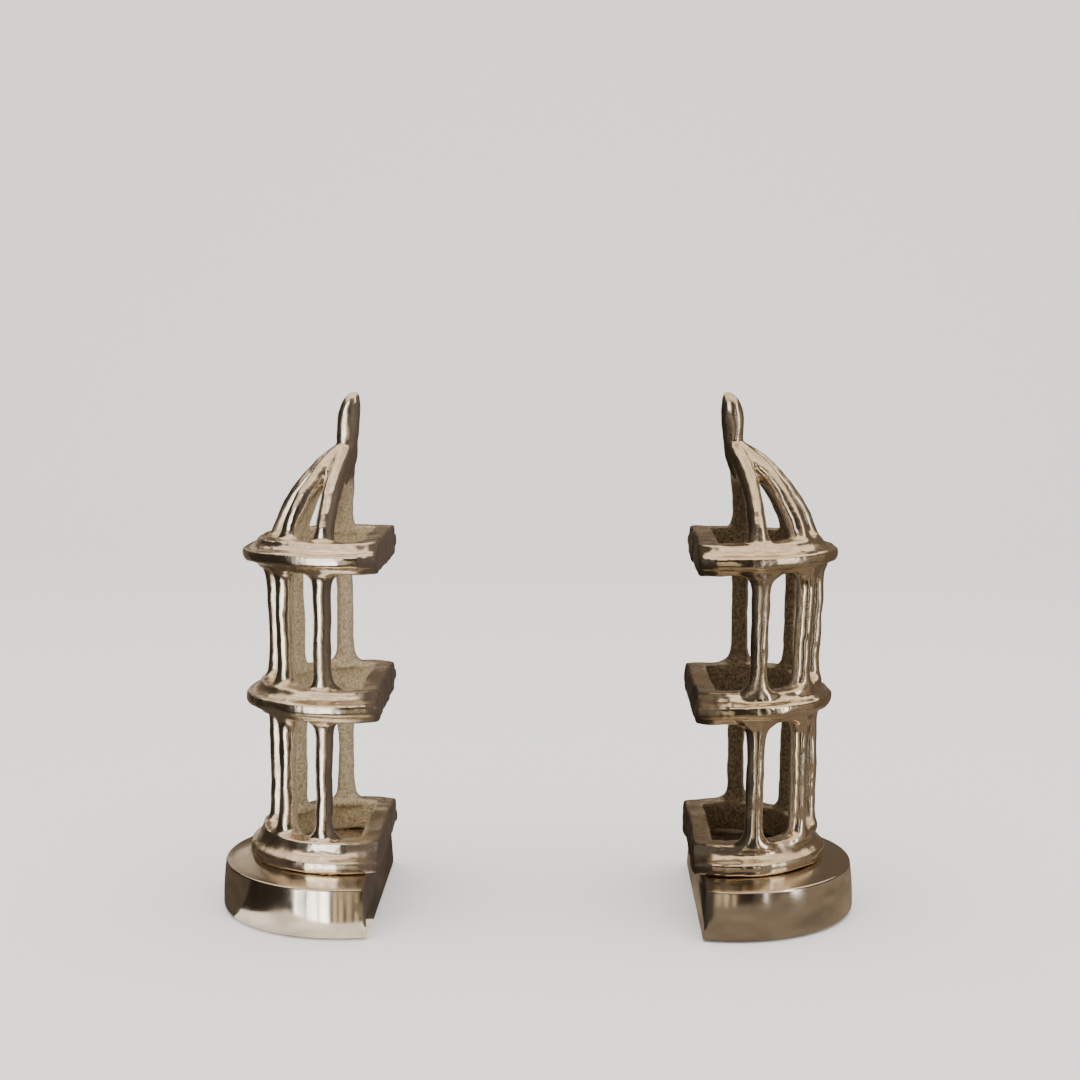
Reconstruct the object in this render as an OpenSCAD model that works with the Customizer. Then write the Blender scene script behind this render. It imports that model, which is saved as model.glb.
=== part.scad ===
// A pair of book ends. Each end is a heavy D-shaped base block with a round
// birdcage casting on it: foot ring, two tiers of bars, two flanged rings, a
// dome of curved ribs and a finial. The flat sides face the books.

/* [Pair] */
// Clear row length for the books, between the flat faces of the two cages
book_row = 142; // [40:1:300]

/* [Base block] */
// Largest radius of the round side
base_r = 60; // [50:0.5:80]
// Height of the top rim above the shelf
base_rim_h = 23; // [20:0.5:32]
// Rise of the top face from its rim to the seat of the cage
base_crown = 2.5; // [0.5:0.1:3.5]
// Draft of the round side, from the bottom edge to the rim
base_draft = 0.8; // [0.2:0.1:2]
// Rounding of the bottom edge
base_edge_r = 2; // [1:0.5:5]
// How far the foot of the flat side stands back from the cage's flat face
base_setback = 3.5; // [1:0.5:5]
// Draft of the flat side, from its foot to its top
flat_draft = 1.6; // [0.4:0.1:3]

/* [Felt pad] */
// Thickness of the pad
pad_t = 0.8; // [0.6:0.1:3]
// How far the pad's edge stands inside the flat underside
pad_inset = 1.5; // [0.5:0.5:5]

/* [Fixing screws] */
// Thread diameter
screw_d = 5; // [4:0.5:6]
// Clearance of the plain hole round the thread, on the diameter
screw_clear = 0.5; // [0.2:0.1:1]
// Clearance of the tapped hole round the thread, on the diameter
thread_clear = 0.1; // [0.05:0.05:0.2]
// Head diameter
head_d = 9; // [8:0.5:11]
// Head height
head_h = 3.2; // [2:0.1:4]
// Clearance of the counterbore round the head, on the diameter
head_clear = 1.5; // [0.5:0.5:3]
// Depth of the counterbore below the underside
counterbore_depth = 9; // [5:0.5:12]
// Thread length held in the foot ring
thread_grip = 9; // [6:0.5:10]
// Angle of each screw from the middle of the round side
screw_angle = 57; // [52:1:66]

/* [Cage] */
// Distance from the cage's axis to its flat face
flat_x = 17.5; // [14.5:0.1:21]
// Width of the straight bar that closes each ring on its flat side
chord_w = 9.5; // [6:0.5:11]
// Radius of the circle that the lower bars stand on
bar_circle_r = 35.5; // [28:0.1:43]
// Outward lean of the upper bars, from the middle ring to the top ring
bar_flare = 1.2; // [0:0.1:2]
// Diameter of the bars
bar_d = 7.8; // [6:0.1:9.6]
// Angle from one bar to the next
bar_step = 38; // [36:0.5:41]
// Height of the lower bars
lower_tier_h = 54.3; // [40:0.1:80]
// Height of the upper bars
upper_tier_h = 52.4; // [40:0.1:80]

/* [Rings] */
// How far the foot ring's nose stands out from the land that carries the bars
foot_overhang = 6; // [4.5:0.1:9]
// How far the middle ring's nose stands out
middle_overhang = 6.8; // [4.5:0.1:12]
// How far the top ring's nose stands out
top_overhang = 7.8; // [4.5:0.1:12]
// Height of the polished band round each nose
nose_h = 6; // [4:0.5:8]
// Rounding of the corners of that band
nose_round = 1.8; // [0.5:0.1:1.9]
// Height of the foot ring's undercut, from its seat to the band round its nose
foot_reveal = 0.4; // [0.2:0.1:1.5]
// Height of the foot ring, from its seat to the land that carries the bars
foot_h = 14; // [12.5:0.5:18]
// Rise of the middle and top rings' lands above the middle of the nose
ring_rise = 7.8; // [6:0.1:10]
// Drop of their undersides below the middle of the nose
ring_drop = 6.8; // [5:0.1:9]

/* [Dome] */
// Diameter of the ribs
rib_d = 7.6; // [5:0.1:8]
// How far the ribs' circle lies inside the circle of the bars
rib_inset = 2.3; // [0:0.1:3]
// Height of the ribs' meeting point above the top ring's land
dome_h = 39.5; // [33:0.5:48]
// How far the middle of a rib bows out from the straight
rib_bow = 4.5; // [2:0.5:8]
// Radius of the hub that the ribs run into
hub_r = 5.4; // [4.5:0.1:7]

/* [Finial] */
// Height of the finial above the ribs' meeting point
finial_h = 26.6; // [22:0.1:34]
// Width of the finial
finial_d = 10.4; // [8:0.1:12]
// Width of its waist
waist_d = 8.8; // [6:0.1:10]
// How far its tip leans towards the books
finial_lean = 2.6; // [0:0.1:4]
// Radius of its tip
tip_r = 2.2; // [1.5:0.1:3]

/* [Hidden] */
BARS = [-2, -1, 0, 1, 2];
nickel = "#cdbb9d";
nickel_shade = "#a8957a";
felt = "#23211f";
steel = "#8e9093";
smooth = 96;
hull_smooth = 32;
past = 1;
big = 400;
edge_steps = 6;
rim_steps = 3;
nose_steps = 4;
sag_steps = 5;
// Levels above the shelf
base_bottom_z = pad_t;
seat_z = base_rim_h + base_crown;
foot_nose_z = seat_z + foot_reveal + nose_h / 2;
foot_land_z = seat_z + foot_h;
middle_under_z = foot_land_z + lower_tier_h;
middle_z = middle_under_z + ring_drop;
middle_land_z = middle_z + ring_rise;
top_under_z = middle_land_z + upper_tier_h;
top_z = top_under_z + ring_drop;
top_land_z = top_z + ring_rise;
hub_z = top_land_z + dome_h;
overall_h = hub_z + finial_h;
// The base block
base_rim_r = base_r - base_draft;
base_rim_round = 0.8;
crown_sag = 0.3;
flat_foot_x = -(flat_x - base_setback);
flat_top_x = flat_foot_x + flat_draft;
// The rings, measured from the cage's axis
land_in_margin = 0.1;
land_out_margin = 0.4;
land_in_r = bar_circle_r - bar_d / 2 - land_in_margin;
land_out_r = bar_circle_r + bar_flare + bar_d / 2 + land_out_margin;
foot_nose_r = land_out_r + foot_overhang;
middle_nose_r = land_out_r + middle_overhang;
top_nose_r = land_out_r + top_overhang;
crown_cover = 0.5;
crown_foot_r = foot_nose_r - crown_cover;
nose_corner_in = 1.4;
nose_turn = 70;
slope_sag = 1.2;
chord_x = -(flat_x - chord_w);
// The fixing screws
screw_outward = 1.5;
screw_circle_r = (land_in_r + land_out_r) / 2 + screw_outward;
head_seat_z = base_bottom_z + counterbore_depth;
screw_end_z = seat_z + thread_grip;
tap_runout = 0.6;
tap_end_z = screw_end_z + tap_runout;
// One rib: an arc from its foot on the top ring to the hub
rib_circle_r = bar_circle_r - rib_inset;
rib_bury = 1.4;
rib_top_r = hub_r - rib_bury;
rib_run = rib_circle_r - rib_top_r;
rib_chord = sqrt(rib_run * rib_run + dome_h * dome_h);
rib_arc_r = (rib_chord * rib_chord / 4 + rib_bow * rib_bow) / (2 * rib_bow);
rib_half_angle = asin(rib_chord / 2 / rib_arc_r);
rib_tilt = atan2(dome_h, -rib_run);
rib_first_angle = rib_tilt - 90 - rib_half_angle;
// The finial
hub_collar_h = 2.5;
waist_z = hub_z + hub_collar_h;
waist_h = 1;
hub_drop = 12;

// One end stands with its axis at the origin and its flat side towards -X
module right_place() translate([book_row / 2 + flat_x, 0, 0]) children();
module left_place() mirror([1, 0, 0]) right_place() children();

// Keeps what lies outward of a plane that leans from x_foot to x_top
module behind_flat(x_foot, x_top, z_foot, z_top) {
    slope = (x_top - x_foot) / (z_top - z_foot);
    low = -past;
    intersection() {
        children();
        rotate([90, 0, 0])
            translate([0, 0, -big / 2])
                linear_extrude(big)
                    polygon([
                        [x_foot + slope * (low - z_foot), low], [big, low], [big, big],
                        [x_foot + slope * (big - z_foot), big],
                    ]);
    }
}

// Points of a quarter-turn fillet, from angle a0 to a1 about c
function arc(c, r, a0, a1, steps) =
    [for (i = [0:steps]) let (a = a0 + (a1 - a0) * i / steps) c + r * [cos(a), sin(a)]];

// A sagging line from p to q, without its ends
function sag(p, q, depth, steps = sag_steps) =
    let (d = q - p, n = [d[1], -d[0]] / norm(d))
    [for (i = [1:steps - 1]) let (t = i / steps) p + d * t + n * (4 * depth * t * (1 - t))];

module base_body() {
    profile = concat(
        [[0, base_bottom_z]],
        arc([base_r - base_edge_r, base_bottom_z + base_edge_r], base_edge_r, -90, 0, edge_steps),
        arc([base_rim_r - base_rim_round, base_rim_h - base_rim_round], base_rim_round, 0, 90, rim_steps),
        sag([base_rim_r - base_rim_round, base_rim_h], [crown_foot_r, seat_z], -crown_sag),
        [[crown_foot_r, seat_z], [0, seat_z]]
    );
    behind_flat(flat_foot_x, flat_top_x, base_bottom_z, seat_z)
        rotate_extrude($fn = smooth) polygon(profile);
}

module at_screws()
    for (side = [-1, 1])
        rotate([0, 0, side * screw_angle]) translate([screw_circle_r, 0, 0]) children();

module base_block() color(nickel)
    difference() {
        base_body();
        at_screws() {
            translate([0, 0, base_bottom_z - past])
                cylinder(d = head_d + head_clear, h = counterbore_depth + past, $fn = smooth);
            cylinder(d = screw_d + screw_clear, h = seat_z + past, $fn = smooth);
        }
    }

module felt_pad() color(felt)
    intersection() {
        cylinder(r = base_r - base_edge_r - pad_inset, h = pad_t, $fn = smooth);
        translate([flat_foot_x + pad_inset, -big / 2, 0]) cube([big, big, pad_t]);
    }

module fixing_screws() color(steel)
    at_screws() {
        translate([0, 0, head_seat_z - head_h]) cylinder(d = head_d, h = head_h, $fn = smooth);
        translate([0, 0, head_seat_z - past])
            cylinder(d = screw_d, h = screw_end_z - head_seat_z + past, $fn = smooth);
    }

// The inside of a ring: round, and straight along the bar on its flat side
module ring_hole(z, h)
    intersection() {
        translate([0, 0, z - past]) cylinder(r = land_in_r, h = h + 2 * past, $fn = smooth);
        translate([chord_x, -big / 2, z - past]) cube([big, big, h + 2 * past]);
    }

module flanged_ring(nose_r, nose_z, under_z, land_z) {
    top = nose_z + nose_h / 2;
    bottom = max(nose_z - nose_h / 2, under_z);
    profile = concat(
        [[0, under_z], [land_out_r, under_z]],
        sag([land_out_r, under_z], [nose_r - nose_corner_in, bottom], -slope_sag),
        arc([nose_r - nose_round, bottom + nose_round], nose_round, -nose_turn, 0, nose_steps),
        arc([nose_r - nose_round, top - nose_round], nose_round, 0, nose_turn, nose_steps),
        sag([nose_r - nose_corner_in, top], [land_out_r, land_z], -slope_sag),
        [[land_out_r, land_z], [0, land_z]]
    );
    difference() {
        behind_flat(-flat_x, -flat_x, under_z, land_z)
            rotate_extrude($fn = smooth) polygon(profile);
        ring_hole(under_z, land_z - under_z);
    }
}

module foot_ring() color(nickel)
    difference() {
        flanged_ring(foot_nose_r, foot_nose_z, seat_z, foot_land_z);
        at_screws()
            translate([0, 0, seat_z - past])
                cylinder(d = screw_d + thread_clear, h = tap_end_z - seat_z + past, $fn = smooth);
    }

module middle_ring() color(nickel)
    flanged_ring(middle_nose_r, middle_z, middle_under_z, middle_land_z);

module top_ring() color(nickel)
    flanged_ring(top_nose_r, top_z, top_under_z, top_land_z);

// Bars between two levels, leaning outward by flare on the way up
module bars(z0, z1, flare) {
    rise = z1 - z0;
    lean = atan2(flare, rise);
    intersection() {
        translate([-big / 2, -big / 2, z0]) cube([big, big, rise]);
        for (i = BARS)
            rotate([0, 0, i * bar_step])
                translate([bar_circle_r, 0, z0])
                    rotate([0, lean, 0])
                        translate([0, 0, -past]) cylinder(d = bar_d, h = rise + 2 * past, $fn = smooth);
    }
}

module lower_bars() color(nickel_shade) bars(foot_land_z, middle_under_z, 0);

module upper_bars() color(nickel_shade) bars(middle_land_z, top_under_z, bar_flare);

module rib_arc()
    translate([rib_circle_r, 0, top_land_z])
        rotate([90, 0, 0])
            rotate([0, 0, rib_first_angle])
                translate([-rib_arc_r, 0, 0])
                    rotate_extrude(angle = 2 * rib_half_angle, $fn = 2 * smooth)
                        translate([rib_arc_r, 0]) circle(d = rib_d, $fn = hull_smooth);

module hub()
    translate([0, 0, hub_z - hub_drop]) cylinder(r = hub_r, h = waist_z - hub_z + hub_drop, $fn = smooth);

module dome_ribs() color(nickel)
    difference() {
        intersection() {
            union() for (i = BARS) rotate([0, 0, i * bar_step]) rib_arc();
            translate([-big / 2, -big / 2, top_land_z]) cube([big, big, big]);
        }
        hub();
    }

module finial() color(nickel) {
    hub();
    hull() {
        translate([0, 0, waist_z]) cylinder(d = waist_d, h = waist_h, $fn = hull_smooth);
        translate([0, 0, overall_h - finial_d]) sphere(d = finial_d, $fn = hull_smooth);
        translate([-finial_lean, 0, overall_h - tip_r]) sphere(r = tip_r, $fn = hull_smooth);
    }
}

left_place() base_block();  // left_base_block
left_place() felt_pad();  // left_felt_pad
left_place() fixing_screws();  // left_fixing_screws
left_place() foot_ring();  // left_foot_ring
left_place() lower_bars();  // left_lower_bars
left_place() middle_ring();  // left_middle_ring
left_place() upper_bars();  // left_upper_bars
left_place() top_ring();  // left_top_ring
left_place() dome_ribs();  // left_dome_ribs
left_place() finial();  // left_finial
right_place() base_block();  // right_base_block
right_place() felt_pad();  // right_felt_pad
right_place() fixing_screws();  // right_fixing_screws
right_place() foot_ring();  // right_foot_ring
right_place() lower_bars();  // right_lower_bars
right_place() middle_ring();  // right_middle_ring
right_place() upper_bars();  // right_upper_bars
right_place() top_ring();  // right_top_ring
right_place() dome_ribs();  // right_dome_ribs
right_place() finial();  // right_finial
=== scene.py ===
import math

import bpy
import numpy as np
from mathutils import Matrix, Vector


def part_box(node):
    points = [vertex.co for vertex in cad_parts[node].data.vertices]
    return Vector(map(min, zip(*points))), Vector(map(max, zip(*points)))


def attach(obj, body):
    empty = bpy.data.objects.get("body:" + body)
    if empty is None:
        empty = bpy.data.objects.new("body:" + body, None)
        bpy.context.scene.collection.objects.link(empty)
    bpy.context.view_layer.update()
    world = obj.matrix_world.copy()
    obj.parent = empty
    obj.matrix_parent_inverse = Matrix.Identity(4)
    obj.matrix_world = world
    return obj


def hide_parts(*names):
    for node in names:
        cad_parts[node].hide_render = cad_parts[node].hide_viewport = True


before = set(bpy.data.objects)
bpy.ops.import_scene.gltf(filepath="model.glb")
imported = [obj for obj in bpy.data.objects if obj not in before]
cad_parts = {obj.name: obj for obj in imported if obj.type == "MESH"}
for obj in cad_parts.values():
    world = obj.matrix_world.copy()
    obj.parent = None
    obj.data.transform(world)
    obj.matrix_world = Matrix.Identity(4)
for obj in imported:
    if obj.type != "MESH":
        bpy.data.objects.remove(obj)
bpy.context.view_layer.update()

# A pair of polished nickel book ends: on each heavy D-shaped base block stands a round
# birdcage casting, cut off flat on the side that faces the books.
# One end is modelled with its axis at the origin and its flat side towards -X, and is then
# set down on the right, or mirrored and set down on the left.

MM = 0.001

# ---------------------------------------------------------------- sizes, from the frame


def node_box(part):
    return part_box("right_" + part)


base_lo, base_hi = node_box("base_block")
foot_lo, foot_hi = node_box("foot_ring")
middle_lo, middle_hi = node_box("middle_ring")
top_lo, top_hi = node_box("top_ring")
ribs_lo, _ = node_box("dome_ribs")
finial_lo, finial_hi = node_box("finial")
_, bars_hi = node_box("lower_bars")

base_r = base_hi.y
axis_x = base_hi.x - base_r
flat_x = foot_lo.x - axis_x
rim_z = 23 * MM
seat_z = base_hi.z
base_bottom_z = base_lo.z
bar_d = 7.8 * MM
bar_circle_r = bars_hi.x - axis_x - bar_d / 2
nose_h = 6 * MM
ring_drop = 6.8 * MM
flare = 1.2 * MM
# The level land of a ring, on which the bars stand, runs a little past them on both sides.
land_past_in = 0.1 * MM
land_past_out = 0.4 * MM
land_in_r = bar_circle_r - bar_d / 2 - land_past_in
land_out_r = bar_circle_r + flare + bar_d / 2 + land_past_out
chord_w = 9.5 * MM
chord_x = flat_x + chord_w
hub_r = (finial_hi.y - finial_lo.y) / 2
rib_d = 7.6 * MM
rib_inset = 2.3 * MM
rib_circle_r = bar_circle_r - rib_inset
rib_sink = 1.4 * MM
dome_h = 39.5 * MM
hub_z = ribs_lo.z + dome_h
foot_nose_rise = 3.4 * MM
tip_z = finial_hi.z

# ---------------------------------------------------------------- modelling, by hand


def fresh():
    """Leaves edit mode with nothing selected."""
    if bpy.context.object and bpy.context.object.mode != "OBJECT":
        bpy.ops.object.mode_set(mode="OBJECT")
    bpy.ops.object.select_all(action="DESELECT")


def pick(piece):
    fresh()
    piece.select_set(True)
    bpy.context.view_layer.objects.active = piece


def settle(piece):
    """Puts the place of a piece into its mesh and turns its faces outward."""
    pick(piece)
    bpy.ops.object.transform_apply(location=True, rotation=True, scale=True)
    bpy.ops.object.mode_set(mode="EDIT")
    bpy.ops.mesh.select_all(action="SELECT")
    bpy.ops.mesh.normals_make_consistent(inside=False)
    bpy.ops.object.mode_set(mode="OBJECT")
    return piece


def turned(name, levels, sides=32):
    """A solid drawn up level by level. A level is (height, half width, half depth, shift)."""
    fresh()
    z, wide, deep, shift = levels[0]
    bpy.ops.mesh.primitive_circle_add(vertices=sides, radius=1.0, fill_type="NGON")
    piece = bpy.context.object
    piece.name = name
    bpy.ops.object.mode_set(mode="EDIT")
    bpy.ops.mesh.select_all(action="SELECT")
    bpy.ops.transform.resize(value=(wide, deep, 1), center_override=(0, 0, 0))
    bpy.ops.transform.translate(value=(shift, 0, z))
    for z2, wide2, deep2, shift2 in levels[1:]:
        bpy.ops.mesh.extrude_region_move(
            TRANSFORM_OT_translate={"value": (shift2 - shift, 0, z2 - z)}
        )
        bpy.ops.transform.resize(
            value=(wide2 / wide, deep2 / deep, 1), center_override=(shift2, 0, z2)
        )
        z, wide, deep, shift = z2, wide2, deep2, shift2
    bpy.ops.object.mode_set(mode="OBJECT")
    return settle(piece)


def round_levels(outline):
    return [(z, r, r, 0) for r, z in outline]


def cut_flat(piece, x_foot, x_top, z_foot, z_top):
    """Saws off what lies beyond a plane that leans from x_foot to x_top, and closes the cut."""
    pick(piece)
    bpy.ops.object.mode_set(mode="EDIT")
    bpy.ops.mesh.select_all(action="SELECT")
    lean = Vector((z_top - z_foot, 0, x_foot - x_top)).normalized()
    bpy.ops.mesh.bisect(
        plane_co=(x_foot, 0, z_foot), plane_no=lean, use_fill=True, clear_inner=True, threshold=1e-6
    )
    bpy.ops.object.mode_set(mode="OBJECT")
    return settle(piece)


def apply_all(piece):
    pick(piece)
    for modifier in list(piece.modifiers):
        bpy.ops.object.modifier_apply(modifier=modifier.name)


def cut_with(piece, cutter):
    boolean = piece.modifiers.new("cut", "BOOLEAN")
    boolean.operation = "DIFFERENCE"
    boolean.solver = "EXACT"
    boolean.object = cutter
    apply_all(piece)
    bpy.data.objects.remove(cutter)
    return piece


def copy_of(piece, name, place):
    twin = piece.copy()
    twin.data = piece.data.copy()
    twin.data.transform(place)
    twin.name = name
    bpy.context.scene.collection.objects.link(twin)
    return twin


def joined(pieces, name):
    fresh()
    for piece in pieces:
        piece.select_set(True)
    bpy.context.view_layer.objects.active = pieces[0]
    bpy.ops.object.join()
    pieces[0].name = name
    return pieces[0]


def bowed(p, q, depth, steps=5):
    """The points between p and q on a line that sags to one side by depth."""
    (r0, z0), (r1, z1) = p, q
    length = math.hypot(r1 - r0, z1 - z0)
    side = ((z1 - z0) / length, -(r1 - r0) / length)
    points = []
    for i in range(1, steps):
        t = i / steps
        sag = 4 * depth * t * (1 - t)
        points.append((r0 + (r1 - r0) * t + side[0] * sag, z0 + (z1 - z0) * t + side[1] * sag))
    return points


def rounded(centre_r, centre_z, radius, start, end, steps):
    """Points of an arc, from one angle to another."""
    points = []
    for i in range(steps + 1):
        a = math.radians(start + (end - start) * i / steps)
        points.append((centre_r + radius * math.cos(a), centre_z + radius * math.sin(a)))
    return points


# ---------------------------------------------------------------- the cage casting


def ring(name, lo, hi, nose_z):
    """A flanged ring: sloping above and below, with a polished band round its nose."""
    nose_r = hi.y
    lip_r = 0.6 * MM
    roll_r = 2.4 * MM
    sag = 1.5 * MM
    top, bottom = nose_z + nose_h / 2, nose_z - nose_h / 2
    outline = [(land_out_r, lo.z)]
    outline += bowed((land_out_r, lo.z), (nose_r - roll_r, bottom), -sag)
    outline += rounded(nose_r - roll_r, bottom + roll_r, roll_r, -80, 0, 6)
    outline += rounded(nose_r - lip_r, top - lip_r, lip_r, 0, 60, 2)
    outline += bowed((nose_r - lip_r, top), (land_out_r, hi.z), -sag)
    outline += [(land_out_r, hi.z)]
    body = turned(name, round_levels(outline), sides=160)
    cut_flat(body, flat_x, flat_x, lo.z, hi.z)
    past = 2 * MM
    hole_levels = [(lo.z - past, land_in_r, land_in_r, 0), (hi.z + past, land_in_r, land_in_r, 0)]
    hole = turned("hole", hole_levels, sides=96)
    cut_flat(hole, chord_x, chord_x, lo.z - past, hi.z + past)
    return cut_with(body, hole)


def bar(name, z0, z1, lean, circle_r):
    """One upright, which spreads along the ring where it meets it."""
    # The melting of the lumps takes a little off every bar, so each starts that much thicker.
    melt_loss = 0.35 * MM
    half = bar_d / 2 + melt_loss
    sink = 2.5 * MM
    height = z1 - z0
    # How far from the ring in millimetres, and how many times as wide outward and along it.
    spread = [(0.0, 1.30, 2.2), (1.2, 1.18, 1.62), (2.6, 1.08, 1.28), (4.6, 1.03, 1.10), (7.5, 1.0, 1.0)]
    root_out, root_along = 1.35, 2.6
    waist_out, waist_along = 0.97, 0.95
    levels = [(z0 - sink, half * root_out, half * root_along, 0)]
    levels += [(z0 + up * MM, half * radial, half * along, 0) for up, radial, along in spread]
    levels += [(z0 + height / 2, half * waist_out, half * waist_along, 0)]
    levels += [(z1 - up * MM, half * radial, half * along, 0) for up, radial, along in reversed(spread)]
    levels += [(z1 + sink, half * root_out, half * root_along, 0)]
    shifted = [(z, w, d, circle_r + lean * (z - z0) / height) for z, w, d, _ in levels]
    return turned(name, shifted, sides=28)


def rib(name, circle_r, bow, crown_z):
    """One dome rib: an arc from its foot on the top ring up to the crown of the dome."""
    run = circle_r - (hub_r - rib_sink)
    rise = crown_z - top_hi.z
    chord = math.hypot(run, rise)
    arc_r = (chord * chord / 4 + bow * bow) / (2 * bow)
    half_angle = math.asin(chord / 2 / arc_r)
    first = math.atan2(rise, -run) - math.pi / 2 - half_angle
    foot = Vector((circle_r, 0, top_hi.z))
    centre = foot - arc_r * Vector((math.cos(first), 0, math.sin(first)))
    steps = 20
    turn = 2 * half_angle / steps
    steps_below = 1.2
    start = first - steps_below * turn
    melt_loss = 0.3 * MM
    at = centre + arc_r * Vector((math.cos(start), 0, math.sin(start)))
    fresh()
    bpy.ops.mesh.primitive_circle_add(
        vertices=28, radius=rib_d / 2 + melt_loss, fill_type="NGON", location=at, rotation=(0, -start, 0)
    )
    piece = bpy.context.object
    piece.name = name
    bpy.ops.object.transform_apply(location=True, rotation=True, scale=True)
    bpy.ops.object.mode_set(mode="EDIT")
    bpy.ops.mesh.select_all(action="SELECT")
    # The rib's foot spreads along the ring, then the rib keeps its width.
    widths = [1.7, 1.5, 1.2, 1.06] + [1.0] * steps
    bpy.ops.transform.resize(value=(1.1, widths[0], 1.1), center_override=at)
    angle = start
    for i in range(steps + 2):
        bpy.ops.mesh.spin(steps=1, angle=turn, center=centre, axis=(0, 1, 0), use_auto_merge=False)
        angle += turn
        at = centre + arc_r * Vector((math.cos(angle), 0, math.sin(angle)))
        step_k = widths[i + 1] / widths[i]
        bpy.ops.transform.resize(value=(1, step_k, 1), center_override=at)
    bpy.ops.object.mode_set(mode="OBJECT")
    return settle(piece)


def finial_form(name, crown_z):
    """The thumb-shaped finial, which leans towards the books at its tip."""
    rise = tip_z - crown_z
    half = 5.2 * MM
    # Height as a share of the rise, half width and half depth as shares of the finial's own,
    # and the lean away from the books in millimetres.
    outline = [
        (-0.50, 0.40, 0.42, 2.6), (-0.38, 0.62, 0.72, 2.2), (-0.22, 0.82, 0.92, 1.5),
        (-0.10, 0.94, 0.96, 0.7), (0.00, 0.92, 0.89, 0.2), (0.09, 0.89, 0.85, -0.1),
        (0.22, 0.93, 0.91, -0.2), (0.40, 0.99, 0.97, -0.3), (0.57, 1.01, 0.99, -0.4),
        (0.71, 0.96, 0.94, -0.8), (0.82, 0.86, 0.86, -1.4), (0.90, 0.70, 0.72, -2.1),
        (0.965, 0.48, 0.50, -2.8), (1.00, 0.25, 0.27, -3.3),
    ]
    levels = [(crown_z + rise * up, half * w, half * d, shift * MM) for up, w, d, shift in outline]
    return turned(name, levels, sides=32)


def web_form(name, crown_z):
    """The metal that gathers between the ribs just under the hub, hollow below."""
    # Height above the crown, and radius, in millimetres.
    outline = [(-14.0, 16.8), (-10.0, 14.0), (-6.5, 11.0), (-2.5, 7.6), (1.0, 5.0)]
    wall = 4.5 * MM
    outer = [(r * MM, crown_z + down * MM) for down, r in outline]
    least_r = 0.5 * MM
    past = 1 * MM
    inner = [(max(r - wall, least_r), z) for r, z in outer[:-1]]
    inner[0] = (inner[0][0] + past, inner[0][1] - past)
    web = cut_with(turned(name, round_levels(outer)), turned("hollow", round_levels(inner)))
    # The ribs stand on the side away from the books, and so does the web.
    cut_x = 2 * MM
    cut_depth = 20 * MM
    return cut_flat(web, cut_x, cut_x, crown_z - cut_depth, crown_z)


def cage_form(turns, spread, bow, crown_z):
    """The whole cage in separate lumps that overlap, ready to be run together."""
    lumps = [
        ring("foot", foot_lo, foot_hi, foot_lo.z + foot_nose_rise),
        ring("middle", middle_lo, middle_hi, middle_lo.z + ring_drop),
        ring("top", top_lo, top_hi, top_lo.z + ring_drop),
    ]
    lower = bar("lower_bar", foot_hi.z, middle_lo.z, 0, bar_circle_r + spread)
    upper = bar("upper_bar", middle_hi.z, top_lo.z, flare, bar_circle_r + spread)
    dome = rib("rib", rib_circle_r + spread, bow, crown_z)
    for bearing in turns:
        turn = Matrix.Rotation(math.radians(bearing), 4, "Z")
        for one in (lower, upper, dome):
            lumps.append(copy_of(one, one.name, turn))
    for one in (lower, upper, dome):
        bpy.data.objects.remove(one)
    lumps += [web_form("web", crown_z), finial_form("finial", crown_z)]
    return joined(lumps, "cage")


def clouds(name, size, depth=1):
    texture = bpy.data.textures.new(name, "CLOUDS")
    texture.noise_scale = size
    texture.noise_depth = depth
    return texture


def swell(piece, texture, strength, direction="NORMAL"):
    modifier = piece.modifiers.new("swell", "DISPLACE")
    modifier.texture = texture
    modifier.texture_coords = "LOCAL"
    modifier.direction = direction
    modifier.strength = strength
    modifier.mid_level = 0.5


def run_together(piece):
    """Melts the lumps of a casting into one skin with soft fillets, then works it unevenly."""
    piece.data.materials.clear()
    melt = piece.modifiers.new("melt", "REMESH")
    melt.mode = "VOXEL"
    melt.voxel_size = 0.85 * MM
    melt.use_smooth_shade = True
    soften = piece.modifiers.new("soften", "SMOOTH")
    soften.factor = 0.5
    soften.iterations = 10
    swell(piece, slow_waves, 1.6 * MM, "RGB_TO_XYZ")
    swell(piece, hand_marks, 1.2 * MM)
    swell(piece, fine_marks, 0.36 * MM)
    apply_all(piece)


def mark_as_cast(piece, axis):
    """Marks the skin that the polishing wheel can't reach: what faces in towards the axis."""
    mesh = piece.data
    count = len(mesh.vertices)
    place = np.empty(count * 3)
    normal = np.empty(count * 3)
    mesh.vertices.foreach_get("co", place)
    mesh.vertices.foreach_get("normal", normal)
    place = place.reshape(-1, 3)
    normal = normal.reshape(-1, 3)
    out = place[:, :2] - np.array([axis, 0.0])
    distance = np.linalg.norm(out, axis=1)
    out /= np.maximum(distance, 1e-6)[:, None]
    inward = -(out * normal[:, :2]).sum(axis=1)
    # The marking fades out towards the crown of the dome and towards the axis, and it comes
    # in over the edges of the bars.
    polished_z, fade_h = hub_z - 6 * MM, 12 * MM
    polished_r, fade_r = 12 * MM, 6 * MM
    edge_from, edge_over = -0.05, 0.55
    below_dome = np.clip((polished_z - place[:, 2]) / fade_h, 0, 1)
    off_axis = np.clip((distance - polished_r) / fade_r, 0, 1)
    mask = np.clip((inward - edge_from) / edge_over, 0, 1) * below_dome * off_axis
    layer = mesh.attributes.new("as_cast", "FLOAT", "POINT")
    layer.data.foreach_set("value", mask.astype(np.float32))


# ---------------------------------------------------------------- the base block


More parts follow.
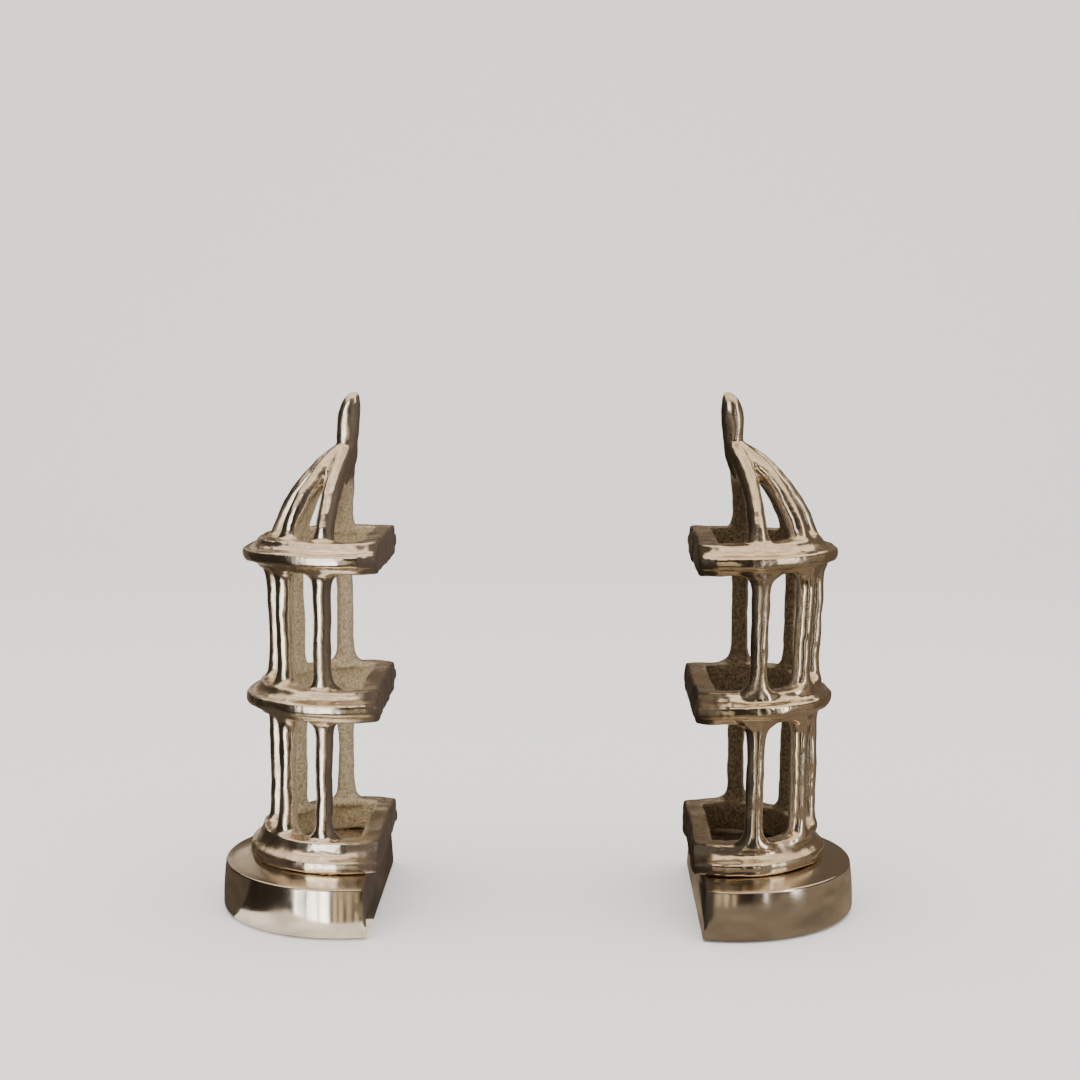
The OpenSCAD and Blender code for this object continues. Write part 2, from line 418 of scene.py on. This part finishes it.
def base_form():
    """The base block: drafted side, rounded foot, crisp rim and a slightly raised top."""
    edge_r = 2 * MM
    rim_round = 0.8 * MM
    draft = 1.4 * MM
    side_z = base_bottom_z + edge_r
    rim_r = base_r - draft
    outline = rounded(base_r - edge_r, side_z, edge_r, -90, 0, 8)
    for i in range(1, 9):
        z = side_z + (rim_z - rim_round - side_z) * i / 8
        outline.append((base_r - draft * ((z - side_z) / (rim_z - side_z)) ** 2, z))
    outline += rounded(rim_r - rim_round, rim_z - rim_round, rim_round, 15, 90, 4)
    under_ring = 0.5 * MM
    crown_r = foot_hi.y - under_ring
    outline += bowed((rim_r - rim_round, rim_z), (crown_r, seat_z), -0.3 * MM)
    outline += [(crown_r, seat_z)]
    body = turned("base", round_levels(outline), sides=192)
    setback = 3.5 * MM
    flat_draft = 1.6 * MM
    cut_flat(body, flat_x + setback, flat_x + setback + flat_draft, base_bottom_z, seat_z)
    edges = body.modifiers.new("edges", "BEVEL")
    edges.width = 0.5 * MM
    edges.segments = 3
    edges.limit_method = "ANGLE"
    edges.angle_limit = math.radians(40)
    apply_all(body)
    return body


def smooth_by_angle(piece, degrees):
    pick(piece)
    bpy.ops.object.shade_smooth_by_angle(angle=math.radians(degrees))


# ---------------------------------------------------------------- finishes


def new_material(name):
    material = bpy.data.materials.new(name)
    material.use_nodes = True
    nodes = material.node_tree.nodes
    return material, nodes, material.node_tree.links, nodes["Principled BSDF"]


def hand_polish_group():
    """Uneven hand polish: roughness that drifts, faint tarnish, and a slightly rippled skin."""
    group = bpy.data.node_groups.new("hand_polish", "ShaderNodeTree")
    face = group.interface
    for name, value in (("Polish", 0.06), ("Dulling", 0.12), ("Ripple Size", 90.0)):
        socket = face.new_socket(name, in_out="INPUT", socket_type="NodeSocketFloat")
        socket.default_value = value
    face.new_socket("Roughness", in_out="OUTPUT", socket_type="NodeSocketFloat")
    face.new_socket("Tarnish", in_out="OUTPUT", socket_type="NodeSocketFloat")
    face.new_socket("Height", in_out="OUTPUT", socket_type="NodeSocketFloat")
    nodes, links = group.nodes, group.links
    inlet = nodes.new("NodeGroupInput")
    outlet = nodes.new("NodeGroupOutput")
    place = nodes.new("ShaderNodeTexCoord")
    drift = nodes.new("ShaderNodeTexNoise")
    drift.inputs["Scale"].default_value = 55
    drift.inputs["Detail"].default_value = 4
    links.new(place.outputs["Object"], drift.inputs["Vector"])
    spread = nodes.new("ShaderNodeMapRange")
    spread.inputs["From Min"].default_value = 0.40
    spread.inputs["From Max"].default_value = 0.72
    links.new(drift.outputs["Fac"], spread.inputs["Value"])
    more = nodes.new("ShaderNodeMath")
    more.operation = "MULTIPLY_ADD"
    links.new(spread.outputs["Result"], more.inputs[0])
    links.new(inlet.outputs["Dulling"], more.inputs[1])
    links.new(inlet.outputs["Polish"], more.inputs[2])
    links.new(more.outputs[0], outlet.inputs["Roughness"])
    links.new(spread.outputs["Result"], outlet.inputs["Tarnish"])
    ripple = nodes.new("ShaderNodeTexNoise")
    ripple.inputs["Detail"].default_value = 1
    links.new(place.outputs["Object"], ripple.inputs["Vector"])
    links.new(inlet.outputs["Ripple Size"], ripple.inputs["Scale"])
    links.new(ripple.outputs["Fac"], outlet.inputs["Height"])
    return group


def place_group(nodes, group, **values):
    node = nodes.new("ShaderNodeGroup")
    node.node_tree = group
    for name, value in values.items():
        node.inputs[name.replace("_", " ")].default_value = value
    return node


def mixed(nodes, links, factor, first, second):
    """Mixes two colours by a factor."""
    mix = nodes.new("ShaderNodeMix")
    mix.data_type = "RGBA"
    mix.inputs["A"].default_value = (*first, 1)
    mix.inputs["B"].default_value = (*second, 1)
    links.new(factor, mix.inputs["Factor"])
    return mix.outputs["Result"]


def cage_nickel(name, polish, shine, tarnish, sand_dark, sand_pale, bare):
    """Bright nickel outside, sandy as-cast metal where the wheel can't reach.

    shine and tarnish colour the polish, sand_dark and sand_pale the grain, and bare is how
    metallic the grain is.
    """
    material, nodes, links, shader = new_material(name)
    wheel = place_group(nodes, polish, Polish=0.17, Dulling=0.20, Ripple_Size=160.0)
    mask = nodes.new("ShaderNodeAttribute")
    mask.attribute_name = "as_cast"
    place = nodes.new("ShaderNodeTexCoord")
    sand = nodes.new("ShaderNodeTexNoise")
    sand.inputs["Scale"].default_value = 800
    sand.inputs["Detail"].default_value = 4
    links.new(place.outputs["Object"], sand.inputs["Vector"])
    bright = mixed(nodes, links, wheel.outputs["Tarnish"], shine, tarnish)
    grains = nodes.new("ShaderNodeMapRange")
    grains.inputs["From Min"].default_value = 0.34
    grains.inputs["From Max"].default_value = 0.64
    links.new(sand.outputs["Fac"], grains.inputs["Value"])
    dull = mixed(nodes, links, grains.outputs["Result"], sand_dark, sand_pale)
    blend = nodes.new("ShaderNodeMix")
    blend.data_type = "RGBA"
    links.new(mask.outputs["Fac"], blend.inputs["Factor"])
    links.new(bright, blend.inputs["A"])
    links.new(dull, blend.inputs["B"])
    links.new(blend.outputs["Result"], shader.inputs["Base Color"])
    rough = nodes.new("ShaderNodeMix")
    rough.data_type = "FLOAT"
    rough.inputs["B"].default_value = 0.46
    links.new(mask.outputs["Fac"], rough.inputs["Factor"])
    links.new(wheel.outputs["Roughness"], rough.inputs["A"])
    links.new(rough.outputs["Result"], shader.inputs["Roughness"])
    metal = nodes.new("ShaderNodeMapRange")
    metal.inputs["To Min"].default_value = 1.0
    metal.inputs["To Max"].default_value = bare
    links.new(mask.outputs["Fac"], metal.inputs["Value"])
    links.new(metal.outputs["Result"], shader.inputs["Metallic"])
    grain = nodes.new("ShaderNodeMath")
    grain.operation = "MULTIPLY"
    links.new(sand.outputs["Fac"], grain.inputs[0])
    links.new(mask.outputs["Fac"], grain.inputs[1])
    height = nodes.new("ShaderNodeMath")
    height.operation = "MULTIPLY_ADD"
    height.inputs[1].default_value = 7.0
    links.new(grain.outputs[0], height.inputs[0])
    links.new(wheel.outputs["Height"], height.inputs[2])
    bump = nodes.new("ShaderNodeBump")
    bump.inputs["Strength"].default_value = 0.5
    bump.inputs["Distance"].default_value = 0.35 * MM
    links.new(height.outputs[0], bump.inputs["Height"])
    links.new(bump.outputs["Normal"], shader.inputs["Normal"])
    return material


def base_nickel(polish):
    """The base block's nickel: a flatter, cleaner polish than the cage's."""
    material, nodes, links, shader = new_material("base_nickel")
    shader.inputs["Metallic"].default_value = 1.0
    wheel = place_group(nodes, polish, Polish=0.11, Dulling=0.10, Ripple_Size=45.0)
    tint = mixed(nodes, links, wheel.outputs["Tarnish"], (0.79, 0.71, 0.60), (0.68, 0.60, 0.48))
    links.new(tint, shader.inputs["Base Color"])
    links.new(wheel.outputs["Roughness"], shader.inputs["Roughness"])
    bump = nodes.new("ShaderNodeBump")
    bump.inputs["Strength"].default_value = 0.35
    bump.inputs["Distance"].default_value = 0.4 * MM
    links.new(wheel.outputs["Height"], bump.inputs["Height"])
    links.new(bump.outputs["Normal"], shader.inputs["Normal"])
    return material


def felt():
    material, nodes, links, shader = new_material("black_felt")
    place = nodes.new("ShaderNodeTexCoord")
    fibre = nodes.new("ShaderNodeTexNoise")
    fibre.inputs["Scale"].default_value = 1400
    fibre.inputs["Detail"].default_value = 5
    links.new(place.outputs["Object"], fibre.inputs["Vector"])
    tint = mixed(nodes, links, fibre.outputs["Fac"], (0.010, 0.010, 0.010), (0.045, 0.043, 0.040))
    links.new(tint, shader.inputs["Base Color"])
    shader.inputs["Roughness"].default_value = 0.95
    shader.inputs["Sheen Weight"].default_value = 0.3
    bump = nodes.new("ShaderNodeBump")
    bump.inputs["Strength"].default_value = 0.6
    bump.inputs["Distance"].default_value = 0.3 * MM
    links.new(fibre.outputs["Fac"], bump.inputs["Height"])
    links.new(bump.outputs["Normal"], shader.inputs["Normal"])
    return material


def screw_steel():
    material, nodes, links, shader = new_material("screw_steel")
    shader.inputs["Metallic"].default_value = 1.0
    place = nodes.new("ShaderNodeTexCoord")
    wear = nodes.new("ShaderNodeTexNoise")
    wear.inputs["Scale"].default_value = 300
    links.new(place.outputs["Object"], wear.inputs["Vector"])
    tint = mixed(nodes, links, wear.outputs["Fac"], (0.40, 0.40, 0.41), (0.62, 0.62, 0.62))
    links.new(tint, shader.inputs["Base Color"])
    shader.inputs["Roughness"].default_value = 0.35
    return material


def dress(piece, material):
    piece.data.materials.clear()
    piece.data.materials.append(material)


# ---------------------------------------------------------------- putting the pair together

slow_waves = clouds("slow_waves", 45 * MM)
hand_marks = clouds("hand_marks", 14 * MM)
fine_marks = clouds("fine_marks", 5 * MM)

polish = hand_polish_group()
# The inside of the left casting is pale and golden. The right casting is painted darker and browner all
# over, with its inside nearly black: painted shade from the books that would stand beside it.
CAGE_NICKEL_WITH_PAINTED_SHADE = {
    "left": cage_nickel(
        "left_cage_nickel", polish, shine=(0.85, 0.76, 0.63), tarnish=(0.74, 0.62, 0.46),
        sand_dark=(0.42, 0.33, 0.19), sand_pale=(0.74, 0.62, 0.42), bare=0.45,
    ),
    # Painted shade: the right casting's shine, tarnish and sand colours are darkened because the books
    # would shade it.
    "right": cage_nickel(
        "right_cage_nickel_painted_shade", polish, shine=(0.79, 0.68, 0.53), tarnish=(0.64, 0.52, 0.37),
        sand_dark=(0.06, 0.04, 0.018), sand_pale=(0.18, 0.125, 0.065), bare=0.55,
    ),
}
BASE_NICKEL = base_nickel(polish)
FELT = felt()
SCREW_STEEL = screw_steel()

CAGE_NODES = (
    "foot_ring", "lower_bars", "middle_ring", "upper_bars", "top_ring", "dome_ribs", "finial"
)
# How far each cage leans away from the books at its tip: no two castings stand quite alike.
LEAN = {"left": -1.0 * MM, "right": 2.2 * MM}
# Where the moulder set each bar (bearings in degrees), how far out the bars stand, how much
# the ribs bow, and how high they meet: a little off the drawing, and never twice alike.
BAR_TURNS = {"left": (-76, -39, 0, 35, 79), "right": (-75, -36, 1, 34, 78)}
SPREAD = {"left": -1.5 * MM, "right": 2.6 * MM}
RIB_BOW = {"left": 3.9 * MM, "right": 4.5 * MM}
CROWN_Z = {"left": hub_z - 2.4 * MM, "right": hub_z - 0.8 * MM}

base = base_form()
for side, sign in (("left", -1), ("right", 1)):
    body = side + "_end"
    lean = Matrix.Identity(4)
    lean[0][2] = LEAN[side] / (tip_z - seat_z)
    lean[0][3] = -lean[0][2] * seat_z
    stand = Matrix.Translation((sign * axis_x, 0, 0)) @ Matrix.Scale(sign, 4, (1, 0, 0))
    one_cage = cage_form(BAR_TURNS[side], SPREAD[side], RIB_BOW[side], CROWN_Z[side])
    one_cage.name = side + "_cage"
    one_cage.data.transform(stand @ lean)
    settle(one_cage)
    run_together(one_cage)
    mark_as_cast(one_cage, sign * axis_x)
    dress(one_cage, CAGE_NICKEL_WITH_PAINTED_SHADE[side])
    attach(one_cage, body)
    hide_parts(*[side + "_" + n for n in CAGE_NODES])
    one_base = settle(copy_of(base, side + "_base", stand))
    smooth_by_angle(one_base, 25)
    dress(one_base, BASE_NICKEL)
    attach(one_base, body)
    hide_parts(side + "_base_block")
    dress(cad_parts[side + "_felt_pad"], FELT)
    dress(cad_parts[side + "_fixing_screws"], SCREW_STEEL)
bpy.data.objects.remove(base)

# ---------------------------------------------------------------- studio


def plain(name, colour, roughness):
    material, nodes, links, shader = new_material(name)
    shader.inputs["Specular IOR Level"].default_value = 0.0
    shader.inputs["Base Color"].default_value = (*colour, 1)
    shader.inputs["Roughness"].default_value = roughness
    return material


def glow(name, colour, strength, patchy=0.35, patch_scale=2.2):
    """A card that glows unevenly, as a lit wall or curtain does."""
    material, nodes, links, shader = new_material(name)
    shader.inputs["Base Color"].default_value = (0, 0, 0, 1)
    shader.inputs["Roughness"].default_value = 1.0
    shader.inputs["Emission Color"].default_value = (*colour, 1)
    place = nodes.new("ShaderNodeTexCoord")
    patches = nodes.new("ShaderNodeTexNoise")
    patches.inputs["Scale"].default_value = patch_scale
    patches.inputs["Detail"].default_value = 3
    links.new(place.outputs["Object"], patches.inputs["Vector"])
    level = nodes.new("ShaderNodeMapRange")
    level.inputs["From Min"].default_value = 0.32
    level.inputs["From Max"].default_value = 0.68
    level.inputs["To Min"].default_value = strength * (1 - patchy)
    level.inputs["To Max"].default_value = strength * (1 + patchy)
    links.new(patches.outputs["Fac"], level.inputs["Value"])
    links.new(level.outputs["Result"], shader.inputs["Emission Strength"])
    return material


def only_reflected(piece):
    """Leaves a studio card to be seen in the polished metal and nowhere else."""
    piece.visible_camera = False
    piece.visible_diffuse = False
    piece.visible_shadow = False


def flat_sheet(name, lo, hi, z, material):
    """A level rectangle between two corners."""
    fresh()
    bpy.ops.mesh.primitive_plane_add(size=1)
    piece = bpy.context.object
    piece.name = name
    bpy.ops.object.mode_set(mode="EDIT")
    size = (hi[0] - lo[0], hi[1] - lo[1], 1)
    bpy.ops.transform.resize(value=size, center_override=(0, 0, 0))
    bpy.ops.transform.translate(value=((hi[0] + lo[0]) / 2, (hi[1] + lo[1]) / 2, z))
    bpy.ops.object.mode_set(mode="OBJECT")
    piece.data.materials.append(material)
    return piece


def sweep():
    """The pale floor, which curves up into a backdrop behind the ends."""
    back, bend, top = 1.3, 0.7, 2.6
    floor = flat_sheet("floor", (-4, -3), (4, back), 0, plain("pale_floor", (0.86, 0.85, 0.83), 0.6))
    pick(floor)
    for vertex in floor.data.vertices:
        vertex.select = vertex.co.y > back - 0.01
    for edge in floor.data.edges:
        edge.select = all(floor.data.vertices[v].select for v in edge.vertices)
    floor.data.polygons[0].select = False
    bpy.ops.object.mode_set(mode="EDIT")
    steps = 12
    for i in range(steps):
        a, b = (math.radians(90 * k / steps) for k in (i, i + 1))
        move = (0, bend * (math.sin(b) - math.sin(a)), bend * (math.cos(a) - math.cos(b)))
        bpy.ops.mesh.extrude_region_move(TRANSFORM_OT_translate={"value": move})
    bpy.ops.mesh.extrude_region_move(TRANSFORM_OT_translate={"value": (0, 0, top)})
    bpy.ops.object.mode_set(mode="OBJECT")
    bpy.ops.object.shade_smooth()
    floor.visible_glossy = False


def card(name, start, end, low, high, colour, strength, reach=1.5, patchy=0.35):
    """Part of a round wall about the ends, between two bearings to the left of the front."""
    fresh()
    bpy.ops.mesh.primitive_cylinder_add(
        vertices=60, radius=reach, depth=high - low, end_fill_type="NOTHING",
        location=(0, 0, (high + low) / 2),
    )
    piece = bpy.context.object
    piece.name = name
    bpy.ops.object.transform_apply(location=True, rotation=True, scale=True)
    bpy.ops.object.mode_set(mode="EDIT")
    for bearing, before in ((start, True), (end, False)):
        a = math.radians(bearing)
        bpy.ops.mesh.select_all(action="SELECT")
        bpy.ops.mesh.bisect(
            plane_co=(0, 0, 0), plane_no=(-math.cos(a), math.sin(a), 0),
            clear_inner=before, clear_outer=not before, threshold=1e-6,
        )
    bpy.ops.object.mode_set(mode="OBJECT")
    piece.data.materials.append(glow(name, colour, strength, patchy))
    only_reflected(piece)


def soft_light(name, place, aim, size, watts, colour):
    lamp = bpy.data.lights.new(name, "AREA")
    lamp.shape = "RECTANGLE"
    lamp.size, lamp.size_y = size
    lamp.energy = watts
    lamp.color = colour
    light = bpy.data.objects.new(name, lamp)
    bpy.context.scene.collection.objects.link(light)
    light.location = place
    light.rotation_euler = (Vector(aim) - Vector(place)).to_track_quat("-Z", "Y").to_euler()
    light.visible_glossy = False


WARM = (1.0, 0.83, 0.65)
WHITE = (1.0, 0.97, 0.94)
CREAM = (1.0, 0.90, 0.77)
TAN = (0.30, 0.235, 0.165)
UMBER = (0.14, 0.108, 0.076)
DARK = (0.020, 0.016, 0.012)
GOLD = (1.0, 0.80, 0.52)

sweep()
# The near part of the table, which shows in the lower half of the upright faces: it lies in
# the light in front of the left end and in the shade elsewhere.
skim = 0.1 * MM
for name, lo, hi, colour, strength in (
    ("lit_table", (-0.158, -0.092), (-0.066, -0.030), CREAM, 1.45),
    ("left_table", (-0.330, -0.030), (-0.066, 0.200), TAN, 0.25),
    ("shaded_table", (-0.066, -0.200), (0.300, 0.200), (0.30, 0.235, 0.165), 0.75),
):
    only_reflected(flat_sheet(name, lo, hi, skim, glow(name, colour, strength, patch_scale=22)))

# The row of books that would stand between the ends darkens what each end reflects on that side.
shade_half_h = 0.12
shade_back = 0.10
for name, x, front, colour in (
    ("left_shade", -0.066, -0.085, (0.10, 0.078, 0.068)), ("right_shade", 0.066, -0.115, DARK)
):
    corners = (-shade_half_h, front), (shade_half_h, shade_back)
    shade = flat_sheet(name, *corners, 0, glow(name, colour, 1.0))
    upright = Matrix.Translation((x, 0, shade_half_h)) @ Matrix.Rotation(math.radians(90), 4, "Y")
    shade.data.transform(upright)
    only_reflected(shade)

# The room in front and to the sides: tall windows between dark walls, gold curtains, a brown wall.
for i, (start, end) in enumerate(((16, 24), (26, 35), (37, 46))):
    card("window_%d" % i, start, end, -0.75, 1.15, WHITE, 5.0, patchy=0.6)
for i, (start, end) in enumerate(((9, 12), (4, 7), (-3, 1), (-9, -6))):
    card("curtain_%d" % i, start, end, -0.75, 0.1, GOLD, 1.0)
card("front_wall", -24, 60, -1.2, 1.3, DARK, 1.0, 1.6)
card("left_wall", 60, 128, -1.2, 1.2, DARK, 1.4)
card("right_front_wall", -60, -24, -1.2, 0.5, TAN, 0.3)
card("right_wall", -100, -60, -1.2, 0.5, TAN, 0.8)
card("right_window", -66, -58, -0.2, 1.1, WHITE, 5.0, 1.4)
card("right_lamp", -36, -34, -0.9, 0.6, WHITE, 3.0, 1.4)
card("back_left_lamp", 150, 158, -0.6, 0.8, WARM, 0.6, 1.4)
only_reflected(flat_sheet("ceiling", (-2.5, -1.6), (2.5, 2.2), 1.9, glow("ceiling", WARM, 1.5, 0.6)))
soft_light("overhead", (0, -0.3, 1.8), (0, 0.1, 0), (2.2, 2.0), 34, WHITE)

world = bpy.data.worlds.new("room")
bpy.context.scene.world = world
world.use_nodes = True
nodes = world.node_tree.nodes
links = world.node_tree.links
# The room looks pale behind the ends, and brown and dim in their polish.
room = nodes["Background"]
room.inputs["Color"].default_value = (*UMBER, 1)
pale = nodes.new("ShaderNodeBackground")
pale.inputs["Color"].default_value = (0.95, 0.94, 0.92, 1)
pale.inputs["Strength"].default_value = 1.5
seen = nodes.new("ShaderNodeLightPath")
choose = nodes.new("ShaderNodeMixShader")
links.new(seen.outputs["Is Glossy Ray"], choose.inputs["Fac"])
links.new(pale.outputs["Background"], choose.inputs[1])
links.new(room.outputs["Background"], choose.inputs[2])
links.new(choose.outputs["Shader"], nodes["World Output"].inputs["Surface"])

# ---------------------------------------------------------------- camera

camera_data = bpy.data.cameras.new("camera")
camera = bpy.data.objects.new("camera", camera_data)
bpy.context.scene.collection.objects.link(camera)
camera_data.sensor_width = 36
camera_data.lens = 59.4
camera.location = (0.0174, -0.8226, 0.2689)
camera.rotation_euler = (math.radians(90 - 6.68), 0, math.radians(1.13))
bpy.context.scene.camera = camera
